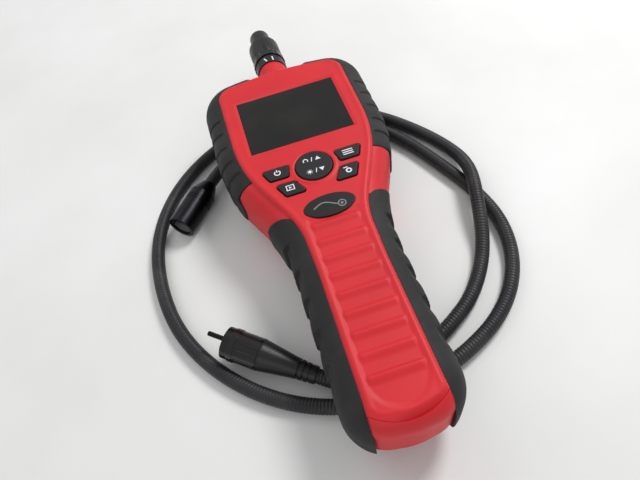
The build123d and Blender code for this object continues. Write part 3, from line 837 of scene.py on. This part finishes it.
def front_shell():
    """The red front shell: its outer form, the neck and waists, less all its openings."""
    z0 = PART_Z + PARTING_GAP
    shell_line = OUTLINE - NORMAL * RUBBER
    layers = []
    for z in (z0, *np.linspace(z0 + PARTING_GROOVE, SHELL_TOP - SHELL_R, 7)):
        layers.append(np.c_[shell_line, np.full(len(shell_line), z)])
    layers[0][:, :2] = shell_line - NORMAL * PARTING_GROOVE
    for ring in front_rings(shell_line):
        layers.append(np.c_[ring, front_height(ring)])
    piece = ring_body("front_shell_moulding", layers, weld=0.02)
    boolean(piece, [waist(z0, 1), waist(z0, -1), neck_half(z0)], "UNION")
    cutters = [cavity_body(PART_Z - 3), cylinder_y(SOCKET_BORE_R, 40, 70)]
    cutters += window_cutters() + key_holes()
    cutters.append(prism(circle(*ROCKER, ROCKER_HOLE_R), CAVITY_TOP - 2, FACE_Z + 2))
    cutters.append(prism(circle(*BADGE, *BADGE_RADII), FACE_Z - 0.9, FACE_Z + 2))
    cutters.append(cap_zone(CAP_HALF + 0.1, SEAM_R))
    cutters.append(box_prism(PASSAGE, -200, -178))
    boolean(piece, cutters, "DIFFERENCE")
    return dress(piece, "red_shell", "handset", "front_shell", angle=SHELL_SMOOTH)


def battery_cap():
    """The end cap: the body's end past the seam, hollowed, with its spigot."""
    piece = full_body()
    piece.name = "battery_end_cap"
    boolean(piece, [cap_zone(CAP_HALF - 0.05, SEAM_R + 0.15)], "INTERSECT")
    boolean(piece, [box_prism(SPIGOT_HOLE, -188.6, -178)], "DIFFERENCE")
    spigot = box_prism(SPIGOT, -184.5, -179.0)
    boolean(spigot, [box_prism(SPIGOT_HOLE, -190, -178)], "DIFFERENCE")
    boolean(piece, [spigot], "UNION")
    return dress(piece, "red_shell", "battery_holder", "battery_cap", angle=SHELL_SMOOTH)


front_shell()
battery_cap()


FLUTES = 24
FLUTE_DEPTH = 0.14


def dust_cap():
    """The cap's barrel with faint flutes, bored out for the socket."""
    count = 8 * FLUTES
    turns = np.arange(count) * 2 * math.pi / count
    profile = [(91.6, 0.0), (91.6, 7.55), (76.9, 7.55), (76.9, 9.8), (77.5, 9.8), (77.5, 9.4),
               (81.55, 9.4), (81.55, 10.5), (81.9, 10.8), (90.0, 10.85), (97.4, 10.9), (98.4, 10.7),
               (99.4, 10.1), (101.8, 8.0), (102.8, 7.4), (104.0, 7.2), (112.6, 7.2), (113.6, 6.9),
               (114.3, 6.3), (114.7, 5.4), (114.7, 0.0)]
    layers = []
    for y, r in profile:
        flute = FLUTE_DEPTH * (0.5 + 0.5 * np.cos(FLUTES * turns)) * (81.8 < y < 98)
        layers.append(np.c_[(r - flute) * np.cos(turns), np.full(count, y),
                            PART_Z + (r - flute) * np.sin(turns)])
    faces = grid_faces(len(layers), count, closed_columns=True)
    piece = build_object("dust_cap_moulding", np.vstack(layers), faces, weld=0.01)
    return dress(piece, "black_plastic", "dust_cover", "dust_cap")


dust_cap()


# ---------------------------------------------------------------- rubber pieces
EDGE, TOWARDS, _ = crossing(OUTLINE, SPINE, PLATEAU)
INDEX = np.arange(len(OUTLINE))
RIGHT = np.where(OUTLINE[:, 0] > 5)[0]
RIGHT = RIGHT[(RIGHT > 0) & (RIGHT < len(OUTLINE) // 2 + 5)]


def index_at_y(y):
    """The outline's index at a height on its right side."""
    rows = []
    for i in RIGHT:
        corner = OUTLINE[i, 1] > 40 and OUTLINE[i, 0] < 45
        if OUTLINE[i, 0] > 12 and not corner:
            rows.append(i)
    ys = OUTLINE[rows, 1]
    return float(np.interp(-y, -ys, rows))


def index_at_x(x, top):
    """The outline's index at a distance from the middle, along its top or bottom end."""
    rows = [i for i in RIGHT if (OUTLINE[i, 1] > 40) == top and (OUTLINE[i, 1] < -175) != top]
    xs = OUTLINE[rows, 0]
    order = np.argsort(xs)
    return float(np.interp(x, xs[order], np.array(rows)[order]))


SKIN_T = 1.95
SKIN_COLUMNS = 300
SKIN_LENGTH = 120.0
FRONT_REACH = 12.6
ROLL = 0.75
ROLL_DROP = 0.7
SIDE_LOW = BACK_Z + 1 + BACK_RUBBER_R


def crowded(count, length):
    """Parameters from 0 to 1 with extra steps for the rolled edge at both ends."""
    near = np.array([0, 0.05, 0.13, 0.25, 0.42, 0.65, 1.0]) * ROLL / length
    inner = np.linspace(near[-1], 1 - near[-1], count)
    return np.r_[near[:-1], inner, 1 - near[:-1][::-1]]


def at(array, index):
    """Rows of an array at fractional indices."""
    return np.stack([np.interp(index, INDEX, array[:, k]) for k in range(array.shape[1])], 1)


def crowded_front():
    """Rows from the raised face out to the edge, closer near the face and down the curve."""
    near = np.array([1, 0.996, 0.988, 0.975, 0.955])
    turns = np.linspace(1, 0, 32)[:-1] * math.acos(1 - FRONT_REACH / RUBBER_R)
    return np.r_[near, (1 - np.cos(turns)) / FRONT_REACH * RUBBER_R * 0.93]


def skin_rows():
    """Each row's kind, its share of the way in over the front, its inset and its height."""
    rows = []
    for q in crowded_front():
        inset = FRONT_REACH * q
        rows.append(("front", q, inset, float(dome(inset, RUBBER_R, RUBBER_TOP))))
    for z in np.linspace(RUBBER_TOP - RUBBER_R, SIDE_LOW, 22):
        rows.append(("side", 0.0, 0.0, z))
    for turn in np.linspace(0, math.radians(86), 16)[1:]:
        inset = BACK_RUBBER_R * (1 - math.cos(turn))
        rows.append(("back", 0.0, inset, SIDE_LOW - BACK_RUBBER_R * math.sin(turn)))
    return rows


def skin_grid(start, end):
    """Points of the rubber's outer form, row by row from the raised face to the back."""
    u = crowded(SKIN_COLUMNS, SKIN_LENGTH)
    grid = []
    for kind, q, inset, height in skin_rows():
        index = start(height) + (end(height) - start(height)) * u
        line = at(OUTLINE, index)
        if kind == "front":
            reach = np.interp(index, INDEX, EDGE) + 0.45
            points = line + at(TOWARDS, index) * (reach * q)[:, None]
            heights = dome(depth_inside(points, OUTLINE), RUBBER_R, RUBBER_TOP)
        else:
            points = line - at(NORMAL, index) * inset
            heights = np.full(len(points), height)
        grid.append(np.c_[points, heights])
    return np.array(grid)


def grid_normals(grid):
    """Unit normals of a grid of points, pointing away from the handset's middle."""
    normal = np.cross(np.gradient(grid, axis=1), np.gradient(grid, axis=0))
    normal /= np.maximum(np.linalg.norm(normal, axis=2), 1e-9)[:, :, None]
    outward = grid - np.array([0, -60, PART_Z])
    return normal * np.sign((normal * outward).sum(2).mean())


def border_distance(grid):
    """Each grid point's distance from the nearest edge of the grid, along the surface."""
    rows, columns = grid.shape[:2]
    across = np.linalg.norm(np.diff(grid, axis=1), axis=2)
    down = np.linalg.norm(np.diff(grid, axis=0), axis=2)
    along = np.cumsum(np.hstack([np.zeros((rows, 1)), across]), axis=1)
    deep = np.cumsum(np.vstack([np.zeros((1, columns)), down]), axis=0)
    from_ends = np.minimum(along, along[:, -1:] - along)
    return np.minimum(from_ends, np.minimum(deep, deep[-1:] - deep))


def sheet_faces(n_rows, n_columns):
    """Faces of two grids of points and of the rim that joins them."""
    size = n_rows * n_columns
    faces = grid_faces(n_rows, n_columns)
    faces += [tuple(size + k for k in face[::-1]) for face in grid_faces(n_rows, n_columns)]
    rim = list(range(n_columns))
    rim += [i * n_columns + n_columns - 1 for i in range(1, n_rows)]
    rim += [(n_rows - 1) * n_columns + j for j in range(n_columns - 2, -1, -1)]
    rim += [i * n_columns for i in range(n_rows - 2, 0, -1)]
    for a, b in zip(rim, rim[1:] + rim[:1]):
        faces.append((a, b, size + b, size + a))
    return faces


def skin(name, start, end, relief, side, clamp_x=None):
    """A rubber skin over the shells: a thick sheet with rounded edges and relief.

    start and end give the outline index where each row begins and stops, from the row's
    height.
    """
    grid = skin_grid(start, end)
    normal = grid_normals(grid)
    border = border_distance(grid)
    curl = 1 - np.clip(border / ROLL, 0, 1)
    drop = ROLL_DROP * (1 - np.sqrt(np.maximum(0, 1 - curl ** 2)))
    fade = smoothstep(0.2, 2.5, border)
    outer = grid + normal * (relief(grid) * fade - drop)[:, :, None]
    inner = grid - normal * SKIN_T
    if clamp_x is not None:
        for layer in (outer, inner):
            low = layer[:, :, 1] < -176
            layer[:, :, 0] = np.where(low, np.maximum(layer[:, :, 0], clamp_x), layer[:, :, 0])
    vertices = np.vstack([outer.reshape(-1, 3), inner.reshape(-1, 3)])
    vertices[:, 0] *= side
    return build_object(name, vertices, sheet_faces(*grid.shape[:2]))


def front_side(z):
    """Distance from the parting plane: 0 at the seam, 20 at the face."""
    return np.abs(z - PART_Z)


BUMPER_EDGE = np.array([(0, -46.8), (4.8, -46.5), (5.6, -45.2), (6.3, -43.3), (7.4, -41.9),
                        (11.4, -42.1), (15.7, -42.7), (18.2, -42.5), (20.0, -42.3)])
GRIP_EDGE = np.array([(0, -67.2), (5.0, -67.8), (8.0, -68.8), (12.0, -69.6), (15.5, -70.8),
                      (17.4, -72.0), (18.2, -73.3), (18.6, -75.3), (19.1, -77.5)])


def bumper_end(height):
    """Lower edge of a bumper: level across the front, lower round the side."""
    return index_at_y(float(np.interp(abs(height - PART_Z), *BUMPER_EDGE.T)))


def grip_start(height):
    """Upper edge of a grip: highest at the side, falling towards the raised face."""
    return index_at_y(float(np.interp(abs(height - PART_Z), *GRIP_EDGE.T)))


BUMPER_START = index_at_x(24.5, True)
GRIP_END = index_at_x(CAP_HALF + 0.15, False)


BUMPER_LINES = [(14.8, 18.0), (2.8, 8.0), (-9.0, -5.3), (-21.0, -19.2), (-31.6, -30.2)]
GRIP_LINES = [-85.3, -101.8, -118.5, -136.0, -152.3]


def bumper_relief(grid):
    """Narrow grooves across the side, each plate a little full below its groove."""
    y, z = grid[:, :, 1], grid[:, :, 2]
    a = front_side(z)
    total = np.zeros_like(y)
    for inner_y, side_y in BUMPER_LINES:
        line = inner_y + (side_y - inner_y) * np.clip((17.8 - a) / 10.8, 0, 1) ** 0.8
        d = line - y
        step = smoothstep(-0.1, 0.4, d) * (1 - smoothstep(0.4, 8.0, d))
        total -= (0.75 * bump_shape(d, 0.85) + 0.5 * step) * (1 - smoothstep(17.0, 18.3, a))
    return total


def grip_relief(grid):
    """Scales that swell downwards and step in again, deepest round the side."""
    y, z = grid[:, :, 1], grid[:, :, 2]
    a = front_side(z)
    total = np.zeros_like(y)
    for scale_y in GRIP_LINES:
        line = scale_y - 3.2 * (1 - smoothstep(2.5, 7.5, a)) - 0.8 * smoothstep(10, 14, a)
        d = line - y
        step = smoothstep(-0.3, 0.9, d) * (1 - smoothstep(2.0, 13.0, d))
        total -= 1.65 * step * (1 - smoothstep(11.0, 15.5, a))
    return total


for side_name, side in (("right", 1), ("left", -1)):
    bumper = skin(f"bumper_{side_name}_rubber", lambda height: BUMPER_START, bumper_end,
                  bumper_relief, side)
    dress(bumper, "rubber_overmould", "handset", f"bumper_{side_name}")
    grip = skin(f"grip_{side_name}_rubber", grip_start, lambda height: GRIP_END,
                grip_relief, side, CAP_HALF + 0.12)
    dress(grip, "rubber_overmould", "handset", f"grip_{side_name}")


# ---------------------------------------------------------------- printed symbols
PRINT_T = 0.1


def print_mark(name, outlines, z, body):
    """Flat printed shapes on a key or badge, each a thin closed plate."""
    vertices, faces = [], []
    for outline, hole in outlines:
        start = len(vertices)
        n = len(outline)
        for height in (z - 0.04, z + PRINT_T):
            vertices += [(x, y, height) for x, y in outline]
            if hole:
                vertices += [(x, y, height) for x, y in hole]
        if hole:
            loops = [start + k * n for k in range(4)]
            for i in range(n):
                j = (i + 1) % n
                o0, h0, o1, h1 = loops
                faces += [(o1 + i, o1 + j, h1 + j, h1 + i), (o0 + i, h0 + i, h0 + j, o0 + j),
                          (o0 + i, o0 + j, o1 + j, o1 + i), (h0 + i, h1 + i, h1 + j, h0 + j)]
        else:
            faces += [tuple(range(start, start + n)), tuple(range(start + n, start + 2 * n))]
            faces += [(start + i, start + (i + 1) % n, start + n + (i + 1) % n, start + n + i)
                      for i in range(n)]
    piece = build_object(name, vertices, faces)
    return dress(piece, "white_mark", body)


def arc_band(cx, cy, r_out, r_in, a0, a1):
    """An open ring between two angles, in degrees."""
    turns = np.radians(np.linspace(a0, a1, 24))
    outer = [(cx + r_out * math.cos(a), cy + r_out * math.sin(a)) for a in turns]
    inner = [(cx + r_in * math.cos(a), cy + r_in * math.sin(a)) for a in turns[::-1]]
    return (outer + inner, None)


def bar(x0, x1, y0, y1, lean=0.0):
    return ([(x0, y0), (x1, y0), (x1 + lean, y1), (x0 + lean, y1)], None)


def ring(cx, cy, r_out, r_in):
    return (circle(cx, cy, r_out, count=40), circle(cx, cy, r_in, count=40))


def disc(cx, cy, r):
    return (circle(cx, cy, r, count=32), None)


KEY_TOP = FACE_Z + 0.4
ROCKER_TOP = FACE_Z + 0.6
KEY_X = 20.3
KEY_Y = -43.6
LOW_X = 16.2
LOW_Y = -56.4

print_mark("power_symbol", [
    arc_band(-KEY_X, KEY_Y, 1.9, 1.25, 125, 415),
    bar(-KEY_X - 0.3, -KEY_X + 0.3, KEY_Y + 0.4, KEY_Y + 2.3)],
           KEY_TOP, "power_button")
print_mark("menu_symbol", [
    bar(KEY_X - 3.0, KEY_X + 3.0, KEY_Y + dy - 0.33, KEY_Y + dy + 0.33)
    for dy in (-1.5, 0, 1.5)],
           KEY_TOP, "menu_button")
print_mark("playback_symbol", [
    (rectangle(-LOW_X - 2.3, -LOW_X + 2.3, LOW_Y - 1.9, LOW_Y + 1.9),
     rectangle(-LOW_X - 1.75, -LOW_X + 1.75, LOW_Y - 1.35, LOW_Y + 1.35)),
    ([(-LOW_X - 0.7, LOW_Y - 0.9), (-LOW_X + 1.0, LOW_Y), (-LOW_X - 0.7, LOW_Y + 0.9)], None)],
           KEY_TOP, "playback_button")
print_mark("shutter_symbol", [
    ring(LOW_X + 0.4, LOW_Y - 0.5, 1.7, 0.85),
    bar(LOW_X - 2.0, LOW_X + 0.4, LOW_Y + 1.7, LOW_Y + 2.3)],
           KEY_TOP, "shutter_button")


RAY_HALF = 0.14


def rays(cx, cy, r_in, r_out, count):
    """Short bars that point away from a centre."""
    shapes = []
    for i in range(count):
        turn = 2 * math.pi * i / count
        out = np.array([math.cos(turn), math.sin(turn)])
        across = RAY_HALF * np.array([-out[1], out[0]])
        start = (cx, cy) + r_in * out
        end = (cx, cy) + r_out * out
        corners = [start + across, start - across, end - across, end + across]
        shapes.append(([tuple(p) for p in corners], None))
    return shapes


UP_Y = ROCKER[1] + 4.3
DOWN_Y = ROCKER[1] - 4.3
print_mark("rocker_symbols", [
    arc_band(-3.6, UP_Y, 1.55, 1.0, -40, 220), bar(-0.75, -0.25, UP_Y - 1.5, UP_Y + 1.5, 0.9),
    ([(1.8, UP_Y - 1.1), (4.9, UP_Y - 1.1), (3.35, UP_Y + 1.4)], None),
    disc(-3.4, DOWN_Y, 0.95), *rays(-3.4, DOWN_Y, 1.25, 1.8, 8),
    bar(-0.35, 0.15, DOWN_Y - 1.5, DOWN_Y + 1.5, 0.9),
    ([(2.0, DOWN_Y + 1.1), (3.55, DOWN_Y - 1.4), (5.1, DOWN_Y + 1.1)], None)],
           ROCKER_TOP, "rocker")


def badge_print():
    """A generic picture of a probe: a curved line that ends in a lens."""
    cx, cy = BADGE
    xs = np.linspace(-8.6, 4.2, 40)
    ys = 1.9 * np.sin((xs + 8.6) / 12.8 * math.pi * 1.35 - 0.3)
    slope = np.gradient(ys, xs)
    n = np.stack([-slope, np.ones_like(xs)], 1)
    n /= np.linalg.norm(n, axis=1)[:, None]
    line = np.stack([xs, ys], 1) + (cx, cy)
    band = [tuple(p) for p in line + n * 0.36] + [tuple(p) for p in (line - n * 0.36)[::-1]]
    tip_x, tip_y = cx + 6.4, cy + ys[-1] - 0.2
    shapes = [(band, None), ring(tip_x, tip_y, 2.3, 1.65), disc(tip_x, tip_y, 0.8)]
    piece = print_mark("badge_symbol", shapes, FACE_Z + 0.2, "handset")
    piece.data.materials.clear()
    piece.data.materials.append(moulded("grey_print", srgb(128, 128, 130), 0.5, 0.00001, 1500.0))


badge_print()


# ---------------------------------------------------------------- materials on CAD pieces
DARKENED = {"plug_key_pin": metal("black_oxide", srgb(44, 44, 46), 0.35)}

for node_name, node in nodes.items():
    if node.hide_render:
        continue
    node.data.materials.clear()
    node.data.materials.append(DARKENED.get(node_name, MATERIALS[SLOT_OF[node_name]]))


# ---------------------------------------------------------------- table and light
TABLE_HALF = 2.2


def table():
    """A wide pale table top under the object."""
    mesh = bpy.data.meshes.new("table")
    w = TABLE_HALF
    mesh.from_pydata([(-w, -w, 0), (w, -w, 0), (w, w, 0), (-w, w, 0)], [], [(0, 1, 2, 3)])
    floor = bpy.data.objects.new("table", mesh)
    bpy.context.scene.collection.objects.link(floor)
    s = Surface("pale_table", 0.6)
    s.colour(s.ramp(s.noise(9.0, 6.0), 0.3, 0.75, srgb(226, 226, 224), srgb(236, 236, 235)))
    s.bump(s.noise(500.0, 4.0), 0.00004)
    mesh.materials.append(s.material)


def lamp(name, place, target, size, power):
    data = bpy.data.lights.new(name, "AREA")
    data.shape = "DISK"
    data.size = size
    data.energy = power
    light = bpy.data.objects.new(name, data)
    light.location = place
    aim = Vector(target) - Vector(place)
    light.rotation_euler = aim.to_track_quat("-Z", "Y").to_euler()
    bpy.context.scene.collection.objects.link(light)


def studio():
    world = bpy.data.worlds.new("studio")
    world.use_nodes = True
    world.node_tree.nodes["Background"].inputs["Color"].default_value = (0.98, 0.99, 1.0, 1)
    world.node_tree.nodes["Background"].inputs["Strength"].default_value = 0.47
    bpy.context.scene.world = world
    bpy.context.scene.view_settings.view_transform = "Standard"
    lamp("key_light", (0.75, 0.45, 1.05), (0, 0, 0), 0.45, 11.5)
    lamp("fill_light", (-0.8, 0.9, 1.2), (0, 0, 0), 1.2, 4.0)
    lamp("front_light", (-0.5, -1.2, 0.8), (0, 0, 0), 1.0, 2.6)


table()
studio()
